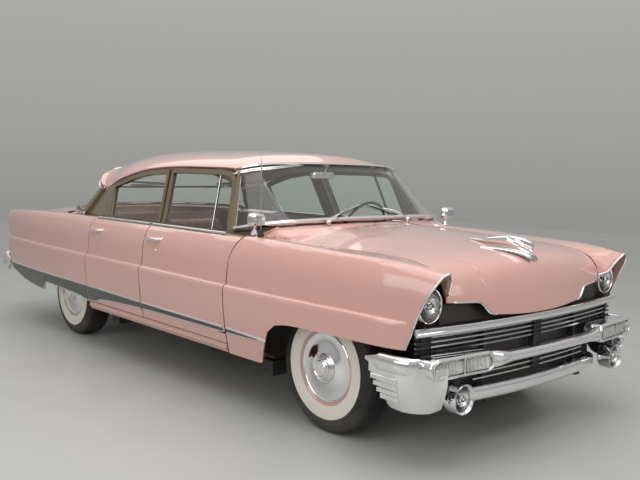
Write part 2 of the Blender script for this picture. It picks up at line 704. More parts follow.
def cladding(name, x0, x1, body):
    """A stretch of the ribbed band, with a bead above and a thinner one below it."""
    n, m, ribs = max(6, int((x1 - x0) / 0.035)), 25, 4
    rows = []
    for x in spread(n, x0, x1):
        top, low = spline(CLAD_TOP, x), clad_low(x)
        row = []
        for j in range(m):
            t = j / (m - 1)
            z = mix(top, low, t)
            hit = on_side(x, z)
            for dx, dz in ((0, 0.006), (0, 0.012), (0.008, 0.003), (-0.008, 0.003), (0, -0.006), (0, 0.03)):
                hit = hit or on_side(x + dx, z + dz)
            p, nor = hit
            rib = 0.5 + 0.5 * math.cos(2 * math.pi * t * ribs)
            raise_by = 0.001 if j in (0, m - 1) else 0.0022 + 0.0022 * rib
            row.append(Vector((x, p.y, z)) + Vector((0, nor.y, nor.z)).normalized() * raise_by)
        rows.append(row)
    verts = [v for r in rows for v in r]
    faces = [(i * m + j, i * m + j + 1, (i + 1) * m + j + 1, (i + 1) * m + j)
             for i in range(n) for j in range(m - 1)]
    back = len(verts)
    verts += [v + Vector((0, 0.004, 0)) for r in rows for v in (r[0], r[-1])]
    for i in range(n):
        a, b = back + 2 * i, back + 2 * i + 2
        faces.append((i * m, (i + 1) * m, b, a))
        faces.append((i * m + m - 1, a + 1, b + 1, (i + 1) * m + m - 1))
    bead = half_round(0.0065, 0.0052, 8, -0.002)
    thin = [(a * 0.62, b * 0.7) for a, b in bead]
    sets = [(verts, faces, 0), (*strip_data([r[0] for r in rows], (0, -1, 0.1), bead), 1),
            (*strip_data([r[-1] for r in rows], (0, -1, -0.2), thin), 1)]
    pair(name, sets, [BRUSHED, CHROME], body, 35, slot="chrome")


cladding("cladding_quarter", -2.345, -0.662, "body")
cladding("cladding_door_rear", -0.642, 0.188, "door_rear_{}")
cladding("cladding_door_front", 0.208, 1.190, "door_front_{}")
cladding("cladding_fender", 1.226, 1.545, "body")


SPEAR = [(0.0115 * u, 0.0075 * w) for u, w in ring(1.0, 14)]


def spear_tip():
    """Rounded end of the upper bead on the fender."""
    rows = []
    for t in spread(8):
        x = mix(1.535, 1.60, t)
        z = mix(0.4635, 0.463, t)
        p, nor = on_side(min(x, 1.585), z)
        k = math.sqrt(max(0.0, 1 - t ** 2)) * 0.97 + 0.03
        rows.append([Vector((x, p.y + nor.y * b * k, z + a * k)) for a, b in SPEAR])
    pair("spear_tip", [loft_data(rows)], [CHROME], "body", 50, slot="chrome")


spear_tip()


# Lamps, grille and bumper dressing

def lens_glass(name, direction, scale, depth):
    return glass_finish(name, (0.96, 0.97, 0.96), 0.03, (0.9, 0.9, 0.9), (direction, scale, depth))


FLUTED = lens_glass("fluted_lens", "Y", 26.0, 0.0012)
RIBBED = lens_glass("ribbed_lens", "Y", 34.0, 0.0012)
BULB_WHITE = mottled("lamp_white", (0.72, 0.72, 0.69), (0.8, 0.8, 0.77), 0.2, 0.3, (300.0, 0.2, 0.0004), 8.0)
LAMP = (2.6203, -0.807, 0.794)
FORWARD, BACKWARD = (1, 0, 0), (-1, 0, 0)


def lamp_unit(name, place, r, deep, node=None):
    """Bright ring, fluted dome lens and a bowl reflector with a small bulb shield."""
    ringed = lathe_data([(-0.004, r * 1.125), (0.015, r * 1.125), (0.0205, r * 1.09), (0.022, r * 1.04),
                         (0.019, r * 0.995), (0.011, r * 0.975), (-0.004, r * 0.975)], place, FORWARD, 72, True)
    lens = lathe_data([(0.009, r * 0.972), (0.0165, r * 0.90), (0.0235, r * 0.74), (0.0285, r * 0.5),
                       (0.0318, r * 0.24), (0.0325, 0), (0.0295, 0), (0.0288, r * 0.24), (0.0255, r * 0.5),
                       (0.0205, r * 0.74), (0.0135, r * 0.90), (0.006, r * 0.972)], place, FORWARD, 72)
    bowl = lathe_data([(0.006, r * 0.970), (-deep * 0.35, r * 0.86), (-deep * 0.72, r * 0.62),
                       (-deep * 0.94, r * 0.34), (-deep, r * 0.1), (-deep, 0)], place, FORWARD, 64)
    shield = lathe_data([(-0.004, r * 0.2), (0.004, r * 0.19), (0.009, r * 0.1), (0.010, 0)], place, FORWARD, 32)
    pair(name + "_ring", [ringed], [CHROME], "body", 40, slot="chrome")
    lenses = pair(name + "_lens", [lens], [FLUTED], "body", 40, slot="glass")
    pair(name + "_reflector", [bowl, shield], [CHROME], "body", 40, slot="chrome")
    if node:
        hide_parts(node)


lamp_unit("headlamp", LAMP, 0.078, 0.020, "headlamps")

HOOD_RIM = [(2.588, -0.922, 0.590), (2.597, -0.915, 0.621), (2.607, -0.909, 0.653), (2.615, -0.903, 0.680),
            (2.621, -0.900, 0.700), (2.632, -0.902, 0.726), (2.655, -0.901, 0.775), (2.684, -0.893, 0.838),
            (2.717, -0.878, 0.894), (2.735, -0.861, 0.928), (2.744, -0.846, 0.947), (2.748, -0.831, 0.956),
            (2.750, -0.808, 0.960), (2.745, -0.787, 0.947), (2.735, -0.772, 0.929), (2.713, -0.752, 0.890),
            (2.691, -0.738, 0.854), (2.668, -0.723, 0.840), (2.646, -0.711, 0.830)]


def smooth_path(points, n):
    """Points spaced along a rounded line through the given ones."""
    pts = [Vector(p) for p in points]
    marks = [0.0]
    for a, b in zip(pts, pts[1:]):
        marks.append(marks[-1] + (b - a).length)
    cols = [[(m, p[k]) for m, p in zip(marks, pts)] for k in range(3)]
    return [Vector([spline(c, m) for c in cols]) for m in spread(n, 0, marks[-1])]


pair("lamp_hood_bead", [tube_data(smooth_path(HOOD_RIM, 70), 0.0052, 10, (1, 0, 0.2))], [CHROME], "body", 50,
     slot="chrome")

GRILLE_X, GRILLE_R = 2.693, 5.95
SCREEN_THICK = 0.004


def arc_x(y):
    """Front of the grille bars' curve."""
    return GRILLE_X - GRILLE_R + math.sqrt(GRILLE_R ** 2 - y * y)


def grille_parts(c, n):
    """0 bright bars, 1 black uprights and backing"""
    upright = min(abs(abs(c.y) - y) for y in (0.0, 0.42, 0.84)) < 0.0095
    return 1 if upright or c.x < arc_x(c.y) - 0.0145 else 0


copy_panel("grille", "bright_grille", [DULL, BLACK], "chrome", grille_parts, 0)


def screen_rows(n, half, back, low, high, lean=0.0):
    """Rows of a thin curved screen behind the grille bars, between two heights."""
    rows = []
    for y in spread(n, -half, half):
        x = arc_x(y) - back
        rows.append([Vector((x, y, low)), Vector((x - lean, y, high)),
                     Vector((x - lean - SCREEN_THICK, y, high)), Vector((x - SCREEN_THICK, y, low))])
    return rows


loft("grille_shade", screen_rows(20, 0.70, 0.052, 0.335, 0.70), [SCREEN], "body", slot="chassis")
loft("lamp_screen", screen_rows(24, 0.722, 0.026, 0.693, 0.786, 0.012), [SCREEN], "body", slot="chassis")

# Broad moulding under the screen, thicker than the bar that carries it
MOULD = ((-0.006, -0.0205), (0.004, -0.0205), (0.0085, -0.017), (0.0095, -0.008), (0.006, -0.004),
         (0.0055, 0.002), (0.0095, 0.007), (0.009, 0.014), (0.004, 0.0185), (-0.006, 0.0195))
MOULD_Z, MOULD_OUT = 0.676, 0.026
mould = [[Vector((arc_x(y) + MOULD_OUT + a, y, MOULD_Z + b)) for a, b in MOULD] for y in spread(40, -0.908, 0.908)]
loft("grille_moulding", mould, [CHROME], "body", slot="chrome")

POD_FRONT, POD_Y, POD_Z, POD_TURN = 2.775, -0.707, 0.518, math.radians(5.36)


def on_pod(back, across, up):
    """A point on the right pod: back from its face, across to its right and up from its middle."""
    return Vector((POD_FRONT - back * math.cos(POD_TURN) + across * math.sin(POD_TURN),
                   POD_Y + back * math.sin(POD_TURN) + across * math.cos(POD_TURN), POD_Z + up))


def oval(steps, flat, r):
    """A pod's outline: two half rounds with a flat between them."""
    out = []
    for k in range(steps):
        t = 2 * math.pi * (k + 0.5) / steps
        c = math.cos(t)
        out.append((flat * (1 if c > 0 else -1) + r * c, r * math.sin(t)))
    return out


pod_sets, back_sets = [], []
for e in (-1, 1):
    outline = rounded(0.177, 0.059, 0.009, 4)
    mid = e * 0.093
    rows = [[on_pod(b, mid + u * k, w * k) for u, w in outline] for b, k in
            ((0.0145, 1.0), (0.003, 1.0), (-0.001, 0.975), (-0.0025, 0.92))]
    pod_sets.append(loft_data(rows))
    rows = [[on_pod(b, mid + u * 0.985, w * 0.97) for u, w in outline] for b in (0.0158, 0.0150)]
    back_sets.append(loft_data(rows))
lenses = pair("pod_lens", pod_sets, [RIBBED], "body", 40, slot="glass")
pair("pod_reflector", back_sets, [BULB_WHITE], "body", 40, slot="glass")
rim_path = [on_pod(0.004, u, w) for u, w in oval(64, 0.158, 0.041)]
pair("pod_rim", [strip_data(rim_path, (1, -0.09, 0), ring(0.0045, 8), True)], [CHROME], "body", 50, slot="chrome")
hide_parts("bumper_lamps")
DRIVING_Z = 0.358
lamp_unit("driving_lamp", (2.752, POD_Y, DRIVING_Z), 0.0605, 0.016)


def bumper_path(a, reach=0.19, side=0.959, front=2.796, turn=0.19):
    """Middle line of the front bumper's right half by its share from the centre."""
    if a < 0.62:
        return Vector((mix(front, front - 0.046, (a / 0.62) ** 2), -mix(0, side - turn, a / 0.62)))
    k = math.radians(90) * min(1, (a - 0.62) / 0.2)
    tail = max(0.0, (a - 0.82) / 0.18)
    return Vector((front - 0.046 - turn * (1 - math.cos(k)) - tail * reach, -(side - turn + turn * math.sin(k))))


def bumper_out(a, *shape):
    """Point of the middle line and the direction outward from it."""
    p, q = bumper_path(a, *shape), bumper_path(min(1.0, a + 0.004), *shape)
    d = (q - p).normalized()
    return p, Vector((-d.y, d.x))


def apron_out(share):
    """How far the apron stands out from the middle line, by its share up from its lower edge."""
    return mix(-0.022, 0.024, math.sin(math.pi / 2 * share))


RIB = [(-0.012, -0.002), (-0.012, 0.002), (-0.010, 0.0045), (0.010, 0.0045), (0.012, 0.002), (0.012, -0.002)]
APRON_TOP = 0.470
rib_sets = []
for z, a0, a1 in ((0.448, 0.80, 0.945), (0.417, 0.80, 0.93), (0.386, 0.80, 0.915), (0.355, 0.80, 0.90)):
    path, nors = [], []
    for a in spread(26, a0, a1):
        p, n = bumper_out(a)
        out = 0.0225 if z > 0.44 else apron_out((z - 0.30) / 0.17)
        path.append(Vector((p.x + n.x * out, p.y + n.y * out, z)))
        nors.append(Vector((n.x, n.y, 0)))
    rib_sets.append(strip_data(path, nors, RIB))
pair("apron_rib", rib_sets, [CHROME], "body", 35, slot="chrome")


# Bumpers, as fine lofts along the CAD bars' own paths

FRONT_TALL = [(0, 0.025), (0.37, 0.027), (0.47, 0.042), (0.88, 0.046), (0.97, 0.044)]
LOWER_TALL = [(0, 0.036), (0.9, 0.036)]
REAR_TALL = [(0, 0.060), (0.42, 0.060), (0.58, 0.084), (0.96, 0.084)]


def straight(table, v):
    """Value at v on straight lines between (v, value) points."""
    for (a, p), (b, q) in zip(table, table[1:]):
        if v <= b:
            return mix(p, q, max(0.0, (v - a) / (b - a)))
    return table[-1][1]


def bar_data(reach, side, front, turn, z, deep, tall, s=1, n=96, faced=0.0, span=(-1, 1), thin=None):
    """A stretch of a bar by its share from the right end to the left; s is -1 at the rear."""
    rows = []
    for a in spread(n, *span):
        e = 1 if a < 0 else -1
        b = min(abs(a), 0.9999)
        p, nor = bumper_out(b, reach, side, front, turn)
        k = 1 - 0.75 * max(0.0, b - 0.9) / 0.1
        h = straight(tall, -p.y)
        row = []
        for i in range(28):
            t = 2 * math.pi * i / 28
            c, w = math.cos(t), math.sin(t)
            out = deep * math.copysign(abs(c) ** 0.8, c) * k * (thin(abs(p.y)) if thin else 1)
            up = h * math.copysign(abs(w) ** 0.75, w) * k
            if faced and c > 0.2:
                out -= faced * max(0.0, 1 - abs(w) / 0.16)
            row.append(Vector((s * (p.x + nor.x * out), e * (p.y + nor.y * out), z + up)))
        rows.append(row)
    return loft_data(rows)


BOX_FACES = [(0, 3, 2, 1), (4, 5, 6, 7), (0, 1, 5, 4), (1, 2, 6, 5), (2, 3, 7, 6), (3, 0, 4, 7)]


def plain_box(lo, hi):
    x0, y0, z0 = lo
    x1, y1, z1 = hi
    verts = [Vector((x, y, z)) for z in (z0, z1) for x, y in ((x0, y0), (x1, y0), (x1, y1), (x0, y1))]
    return verts, BOX_FACES


def neck(y):
    """The bar's depth shrinks where it runs into a pod, from either side."""
    if y < 0.6:
        return 1 - 0.72 * held((y - 0.455) / 0.06)
    return 1 - 0.5 * held((0.945 - y) / 0.03)


NOSE = 2.83
pod_rows = []
for back, ka, kb in ((0.1, 1, 1), (0.012, 1, 1), (0.007, 0.995, 0.985), (0.002, 0.982, 0.94), (0.0, 0.965, 0.875),
                     (0.0008, 0.95, 0.82), (0.004, 0.94, 0.79), (0.0155, 0.938, 0.785)):
    pod_rows.append([on_pod(back, u * ka, w * kb) for u, w in oval(56, 0.167, 0.053)])
divider = ([on_pod(b, u, w) for b in (0.0155, -0.001)
            for u, w in ((-0.004, -0.040), (0.004, -0.040), (0.004, 0.040), (-0.004, 0.040))], BOX_FACES)
APRON = [(0.65, 0.318), (0.70, 0.300), (0.82, 0.300), (0.88, 0.318), (0.93, 0.400), (0.96, 0.470)]
apron_rows = []
for a in spread(28, 0.65, 0.96):
    p, nor = bumper_out(a)
    low = spline(APRON, a)
    section = [(apron_out(k), mix(low, APRON_TOP, k)) for k in spread(6)]
    section += [(0.024, 0.522), (0.006, 0.522), (-0.030, low)]
    apron_rows.append([Vector((p.x + nor.x * o, p.y + nor.y * o, z)) for o, z in section])
barrel = lathe_data([(0.0, 0.055), (0.0, 0.068), (0.006, 0.073), (0.030, 0.074), (0.074, 0.074), (0.081, 0.0735),
                     (0.082, 0.071), (0.080, 0.068), (0.060, 0.0625), (0.030, 0.062), (0.030, 0.0)],
                    (NOSE - 0.13, POD_Y, DRIVING_Z), FORWARD, 64)
half_sets = [loft_data(pod_rows), divider, loft_data(apron_rows), barrel,
             (*plain_box((NOSE - 0.15, POD_Y - 0.02, 0.42), (NOSE - 0.1, POD_Y + 0.02, 0.52)), 1),
             (*plain_box((2.4953, -0.44, 0.282), (NOSE - 0.125, -0.40, 0.328)), 1)]
FRONT_BAR = (0.19, 0.959, 2.796, 0.19, 0.522, 0.034, FRONT_TALL)
sets = [bar_data(*FRONT_BAR, 1, 90, 0.006, (-0.425, 0.425), neck),
        bar_data(*FRONT_BAR, 1, 40, 0.0, (-1, -0.735), neck),
        bar_data(*FRONT_BAR, 1, 40, 0.0, (0.735, 1), neck),
        bar_data(0.06, 0.66, NOSE - 0.104, 0.09, 0.334, 0.022, LOWER_TALL, 1, 90)]
for s in (-1, 1):
    sets += [(flip(d[0], s), *d[1:]) for d in half_sets]
merged("bright_front_bumper", sets, [CHROME, CHASSIS], "body", 42, replaces=("front_bumper",), slot="chrome")

sets = [bar_data(0.09, 0.929, 2.796, 0.22, 0.51, 0.034, REAR_TALL, -1, 110, 0.006)]
bolt = lathe_data([(0.0, 0.009), (0.004, 0.0085), (0.006, 0.005), (0.0065, 0)],
                  (-NOSE + 0.02, 0.089, 0.63), BACKWARD, 24)
sets += [(flip(bolt[0], s), bolt[1]) for s in (-1, 1)]
sets += [(*plain_box((-NOSE + 0.02, -0.119, 0.52), (-NOSE + 0.034, 0.119, 0.66)), 2)]
for s in (-1, 1):
    arm_rows = [[Vector((x, s * y, z + up)) for y, up in ((0.40, 0), (0.44, 0), (0.44, 0.06), (0.40, 0.06))]
                for x, z in ((-2.3453, 0.24), (-2.42, 0.245), (-NOSE + 0.065, 0.47))]
    sets.append((*loft_data(arm_rows), 1))
merged("bright_rear_bumper", sets, [CHROME, CHASSIS, DULL], "body", 42, replaces=("rear_bumper",), slot="chrome")


# Bright edges and rubber round the glass

def rim_loops(node, least=0.3):
    """Ordered border loops of a pane, each with the pane's outward normals."""
    bm = bmesh.new()
    bm.from_mesh(NODES[node].data)
    bmesh.ops.remove_doubles(bm, verts=bm.verts, dist=SAME_POINT)
    near = {}
    for e in bm.edges:
        if len(e.link_faces) == 2 and e.calc_face_angle(0) > 0.9 and e.calc_length() > 0.009:
            for a, b in ((e.verts[0], e.verts[1]), (e.verts[1], e.verts[0])):
                near.setdefault(a.index, []).append(b.index)
    bm.verts.ensure_lookup_table()
    seen, loops = set(), []
    for start in near:
        if start in seen:
            continue
        path, at = [start], start
        seen.add(start)
        while True:
            step = [i for i in near[at] if i not in seen]
            if not step:
                break
            at = step[0]
            seen.add(at)
            path.append(at)
        pts = [bm.verts[i].co.copy() for i in path]
        length = sum((a - b).length for a, b in zip(pts, pts[1:]))
        if length > least:
            mid = sum(pts, Vector()) / len(pts)
            nors = []
            for i in path:
                best = max(bm.verts[i].link_faces, key=lambda f: f.calc_area())
                nors.append(best.normal.copy())
            loops.append((pts, nors, mid))
    bm.free()
    return loops


def loop_bead(pts, nors, mid, offset, a, b, lift):
    """A half-round bead round a border, moved outward in the pane's plane."""
    n = len(pts)
    rows = []
    outline = half_round(a, b, 6, -b * 0.6)
    for i, p in enumerate(pts):
        t0 = (p - pts[i - 1]).normalized()
        t1 = (pts[(i + 1) % n] - p).normalized()
        nor = nors[i].normalized()
        s0, s1 = t0.cross(nor).normalized(), t1.cross(nor).normalized()
        side = (s0 + s1).normalized()
        if side.dot(p - mid) < 0:
            side, s1 = -side, -s1
        k = 1 / max(0.5, side.dot(s1))
        rows.append([p + side * ((offset + u) * k) + nor * (lift + v) for u, v in outline])
    return loft_data(rows, True)


def outer_loop(node, sign):
    """The border whose normals point out of the car."""
    loops = rim_loops(node)
    return max(loops, key=lambda l: sum(n.dot(sign) for n in l[1]) / len(l[1]))


for node, out in (("windshield", Vector((0.9, 0, 0.4))), ("rear_window", Vector((-0.9, 0, 0.4)))):
    pts, nors, mid = outer_loop(node, out)
    merged(node + "_rubber", [loop_bead(pts, nors, mid, 0.002, 0.009, 0.005, 0.001)], [RUBBER], "body", 50,
           slot="tyre")
    merged(node + "_bright", [loop_bead(pts, nors, mid, 0.0155, 0.0068, 0.006, 0.005),
                              loop_bead(pts, nors, mid, 0.0285, 0.0048, 0.005, 0.003)], [CHROME], "body", 50,
           slot="chrome")

for end in ENDS:
    for side, s in SIDES:
        node = f"glass_{end}_{side}"
        sets, soft = [], []
        for pts, nors, mid in rim_loops(node, 0.5):
            if sum(n.y * s for n in nors) / len(nors) > 0.4:
                soft.append(loop_bead(pts, nors, mid, 0.001, 0.0045, 0.0035, 0.001))
                sets.append(loop_bead(pts, nors, mid, 0.0065, 0.0032, 0.0042, 0.002))
        merged(f"window_rubber_{end}_{side}", soft, [RUBBER], BODY_OF[node], 50, slot="tyre")
        merged(f"window_bright_{end}_{side}", sets, [CHROME], BODY_OF[node], 50, slot="chrome")

LENS_SKIN = Skin("tail_lamps")


def tail_bezel():
    """Bright ring round the right tail lamp's lens, as seen from behind."""
    near, far = [], []
    for z in spread(16, 0.789, 0.925):
        row = [LENS_SKIN.hit((-4.0, y, z), (1, 0, 0)) for y in spread(110, -0.915, -0.70)]
        row = [h[0] for h in row if h]
        if row:
            near.append(row[0])
            far.append(row[-1])
    path = [p + Vector((-0.001, 0, 0)) for p in near + far[::-1]]
    pair("tail_bezel", [strip_data(path, BACKWARD, ring(0.0055, 10), True)], [CHROME], "body", 50, slot="chrome")


tail_bezel()

ROOF_SKIN = Skin("roof")


def drip_rail():
    """Bright rail along the roof's lower edge over the doors."""
    path = []
    for x in spread(44, -0.93, 0.84):
        z = 1.5
        last = None
        while z > 1.2:
            hit = ROOF_SKIN.hit((x, -1.2, z), (0, 1, 0))
            if hit:
                last = hit
            elif last:
                break
            z -= 0.003
        if last:
            path.append(last[0] + Vector((0, -0.001, 0.004)))
    outline = [(-0.006, -0.003), (-0.006, 0.007), (-0.0025, 0.0105), (0.002, 0.0105), (0.0055, 0.007),
               (0.0055, -0.003)]
    pair("drip_rail", [strip_data(eased(path), (0, -1, 0.15), outline)], [CHROME], "body", 45, slot="chrome")


drip_rail()


# Closing panels between the quarters and the rear panel, below the tail lamps

REAR_SKIN = Skin("rear_body", "deck_lid")


def tail_panel():
    """Closes each quarter to the rear panel, behind and below its lamp, clear of the boot lid."""
    heights = spread(20, 0.455, 0.925)
    outers, inners = [], []
    for z in heights:
        x = -2.30
        while x > -2.60 and on_side(x, min(z, 0.80)):
            x -= 0.004
        p = on_side(x + 0.006, min(z, 0.80))[0]
        tuck = 0.010 + 0.05 * held((z - 0.755) / 0.02)
        outers.append(Vector((p.x + tuck, min(p.y + 0.016, -0.915), z)))
        inner = REAR_SKIN.hit((-3.2, -0.66, z), (1, 0, 0))[0]
        inners.append(Vector((inner.x + 0.008, -0.697, z)))
    thick = Vector((0.005, 0, 0))
    rows = [[mix(p, q, k / 8) for k in range(9)] + [mix(q, p, k / 8) + thick for k in range(9)]
            for p, q in zip(eased(outers), eased(inners))]
    pair("tail_panel", [loft_data(rows)], [PAINT], "body", 40, slot="paint")


tail_panel()

# Trim of the hood, doors, windshield and cabin

HOOD_TREE = BVHTree.FromPolygons([v.co for v in PANEL["hood"].data.vertices],
                                 [p.vertices for p in PANEL["hood"].data.polygons])


def hood_edge():
    """Bright bead along the hood's lower front edge, over the lamp screens."""
    path = []
    for y in spread(46, -0.655, -0.375):
        z, last = 0.86, None
        while z > 0.66:
            hit = HOOD_TREE.ray_cast((3.0, y, z), (-1, 0, 0))
            if hit[0] is None or hit[0].x < 2.5:
                break
            last = hit[0]
            z -= 0.002
        if last:
            path.append(last + Vector((0.001, 0, 0.001)))
    outline = [(-0.006, -0.003), (-0.006, 0.002), (-0.003, 0.0055), (0.003, 0.0055), (0.006, 0.002),
               (0.006, -0.003)]
    pair("hood_edge", [strip_data(eased(path), FORWARD, outline)], [CHROME], "hood", 45, slot="chrome")


hood_edge()


def hood_vee():
    """Plain bright vee across the hood's nose."""
    along = Vector((0.225, 0.148, 0)).normalized()
    across = Vector((-along.y, along.x, 0))
    rows = []
    for t in spread(20):
        x, y = mix(2.645, 2.42, t), -mix(0.004, 0.152, t)
        top = HOOD_TREE.ray_cast((x, y, 1.6), (0, 0, -1))[0]
        wide, tall = mix(0.034, 0.010, t ** 0.8), mix(0.018, 0.006, t)
        lift = 0.014 * (1 - t)
        rows.append([top + across * (wide * u) + Vector((0, 0, lift + tall * w)) for u, w in
                     ((-1, -0.6), (-1, 0.1), (-0.55, 0.75), (0, 1.0), (0.55, 0.6), (1, 0.1), (1, -0.6))])
    pair("hood_vee", [loft_data(rows)], [CHROME], "hood", 40, slot="chrome")


hood_vee()


def handle_sets(x, lock):
    """Pull with a push button, on the right side."""
    z, out = 0.938, (0, -1, 0)
    base = on_side(x, z + 0.03)[0].y
    path = []
    for t in spread(22, -1, 1):
        bow = 0.030 * (1 - abs(t) ** 3.2)
        path.append(Vector((x + 0.098 * t, base - 0.006 - bow, z + 0.004 * t)))
    rows = []
    for i, (q, a, b) in enumerate(frame_along(path, out)):
        k = 0.65 + 0.35 * math.sin(math.pi * i / 21)
        rows.append([q + a * (0.0125 * k * u) + b * (0.0075 * w) for u, w in ring(1.0, 14)])
    sets = [loft_data(rows)]
    for e, r in ((-0.094, 0.019), (0.092, 0.021)):
        sets.append(lathe_data([(-0.004, r), (0.004, r), (0.008, r * 0.86), (0.011, r * 0.55), (0.0115, 0)],
                               (x + e, base, z), out, 28))
    sets.append(lathe_data([(0.0, 0.0125), (0.026, 0.0125), (0.0285, 0.011), (0.029, 0)], (x + 0.060, base, z),
                           out, 28))
    if lock:
        spot = on_side(x + 0.045, z - 0.075)[0]
        sets.append(lathe_data([(-0.003, 0.011), (0.003, 0.011), (0.005, 0.009), (0.005, 0.004), (0.004, 0)],
                               spot, out, 24))
    return sets


pair("handle_front", handle_sets(0.33, True), [CHROME], "door_front_{}", 45, slot="chrome")
pair("handle_rear", handle_sets(-0.53, False), [CHROME], "door_rear_{}", 45, slot="chrome")

PANE_SKIN = Skin("windshield")


def wiper_sets(y0, y1):
    """A blade that lies on the pane between two places across, with its arm and pivot cap."""
    blade, nors = [], []
    for t in spread(14):
        p, nor = PANE_SKIN.hit((3.0, mix(y0, y1, 0.12 + 0.88 * t), mix(1.118, 1.192, t)), (-1, 0, 0))
        nor = nor if nor.x > 0 else -nor
        blade.append(p + nor * 0.007)
        nors.append(nor)
    rubber = strip_data(blade, nors, ((-0.003, -0.006), (0.003, -0.006), (0.002, 0.002), (-0.002, 0.002)))
    spine = strip_data(blade, nors, ((-0.004, 0.002), (0.004, 0.002), (0.003, 0.007), (-0.003, 0.007)))
    start = Vector((1.452, y0, 1.106))
    middle = blade[8] + nors[8] * 0.014
    knee = mix(start, middle, 0.5) + Vector((0.014, 0, 0.012))
    arm = tube_data(smooth_path([start, knee, middle], 12), 0.0042, 10)
    cap = lathe_data([(-0.012, 0.015), (0.004, 0.014), (0.010, 0.009), (0.012, 0)], start, (0.5, 0, 0.87), 24)
    return [(*rubber, 1), (*spine, 0), (*arm, 0), (*cap, 0)]


merged("wiper_arms", wiper_sets(-0.39, -0.03) + wiper_sets(0.33, 0.05), [CHROME, RUBBER], "body", 45, slot="chrome")

mirror_rows = [[Vector((x, u * k, 1.385 + w * k)) for u, w in rounded(0.215, 0.058, 0.024, 5)] for x, k in
               ((0.925, 0.94), (0.929, 1.0), (0.946, 1.0), (0.955, 0.9), (0.958, 0.7))]
mirror_stalk = tube_data([(0.955, 0, 1.39), (0.975, 0, 1.42), (0.99, 0, 1.45)], 0.006)
merged("inside_mirror", [loft_data(mirror_rows), mirror_stalk], [CHROME], "body", 40, slot="chrome")

aerial_foot = lathe_data([(-0.004, 0.0195), (0.008, 0.019), (0.024, 0.0135), (0.044, 0.0075), (0.05, 0.0)],
                         (1.395, -0.871, 1.034), (0, 0, 1), 28)
merged("aerial_foot", [aerial_foot], [BLACK], "body", 40, slot="tyre")


# Seats, as filled cushions with sewn channels

SEAT_VOXEL, SEAT_SWELL, SEAT_FRAMES = 0.013, 0.013, 20
CHANNEL, CHANNEL_DEEP, WEAR_DEEP, END_ROUND = 0.094, 0.012, 0.006, 0.06
CUSHION_FACE, BACK_FACE = (0.25, 0.97), (0.98, 0.2)


def stuffed(obj):
    """Swells a cushion by cloth under pressure; how far a point may move is capped."""
    skin = obj.modifiers.new("even", "REMESH")
    skin.mode, skin.voxel_size = "VOXEL", SEAT_VOXEL
    bpy.context.view_layer.update()
    even = bpy.data.meshes.new_from_object(obj.evaluated_get(bpy.context.evaluated_depsgraph_get()))
    obj.modifiers.clear()
    obj.data = even
    start = [v.co.copy() for v in even.vertices]
    cloth = obj.modifiers.new("stuffing", "CLOTH")
    cloth.settings.use_pressure = True
    cloth.settings.uniform_pressure_force = 4.0
    cloth.settings.effector_weights.gravity = 0.0
    cloth.settings.quality = 4
    cloth.point_cache.frame_end = SEAT_FRAMES
    for f in range(1, SEAT_FRAMES + 1):
        bpy.context.scene.frame_set(f)
    done = obj.evaluated_get(bpy.context.evaluated_depsgraph_get()).data
    for v, p, q in zip(even.vertices, start, [w.co.copy() for w in done.vertices]):
        move = q - p
        v.co = p + move * min(1.0, SEAT_SWELL / max(move.length, 1e-9))
    obj.modifiers.clear()
    bpy.context.scene.frame_set(1)


def seat_form(name, outline, half, face, **more):
    """A stuffed cushion: an outline in X and Z drawn along Y, swollen, then sewn in channels."""
    cx = sum(p[0] for p in outline) / len(outline)
    cz = sum(p[1] for p in outline) / len(outline)
    rows = []
    for y in spread(60, -half, half):
        over = max(0.0, abs(y) - (half - END_ROUND)) / END_ROUND
        k = 1 - 0.9 * (1 - math.sqrt(max(0.0, 1 - over ** 2))) * END_ROUND / 0.085
        rows.append([Vector((cx + (x - cx) * k, y, cz + (z - cz) * k)) for x, z in outline])
    obj = loft(name, rows, [LEATHER], "body", 60, slot="leather", **more)
    stuffed(obj)
    mesh = obj.data
    mesh.update()
    toward = Vector((face[0], 0, face[1]))
    moves = []
    for v in mesh.vertices:
        y = v.co.y
        puff = abs(math.sin(math.pi * y / CHANNEL)) ** 0.55
        on = max(0.0, v.normal.dot(toward)) ** 0.7
        ends = held((half - 0.03 - abs(y)) / 0.04)
        wear = WEAR_DEEP * on * math.exp(-((abs(y) - 0.36) / 0.16) ** 2)
        moves.append(v.co - v.normal * (CHANNEL_DEEP * (1 - puff) * on * ends + wear))
    for v, p in zip(mesh.vertices, moves):
        v.co = p
    mesh.polygons.foreach_set("use_smooth", [True] * len(mesh.polygons))
    mesh.update()
    return obj


def cushion_outline(x0, x1, z0, z1, r, shear=0.0):
    """A rounded box in X and Z, leaned back by its shear, with points close together."""
    out = []
    for u, w in rounded(x1 - x0, z1 - z0, r, 7):
        z = (z0 + z1) / 2 + w
        out.append(((x0 + x1) / 2 + u - shear * (z - z0), z))
    dense = []
    for i, a in enumerate(out):
        b = out[(i + 1) % len(out)]
        k = max(1, int(math.hypot(b[0] - a[0], b[1] - a[1]) / 0.03))
        dense += [(mix(a[0], b[0], j / k), mix(a[1], b[1], j / k)) for j in range(k)]
    return dense


seat_form("front_cushion", cushion_outline(0.316, 0.832, 0.485, 0.636, 0.06), 0.645, CUSHION_FACE,
          replaces=("front_seat",))
seat_form("front_back_rest", cushion_outline(0.239, 0.361, 0.582, 0.957, 0.055, 0.2), 0.645, BACK_FACE)
seat_form("rear_cushion", cushion_outline(-1.091, -0.579, 0.485, 0.636, 0.06), 0.598, CUSHION_FACE,
          replaces=("rear_seat",))
seat_form("rear_back_rest", cushion_outline(-1.171, -1.049, 0.582, 0.957, 0.055, 0.2), 0.598, BACK_FACE)
merged("seat_base", [(*plain_box((0.33, -0.6, 0.330), (0.80, 0.6, 0.476)), 0)], [CARPET], "body", 30, slot="cabin")

# Steering wheel

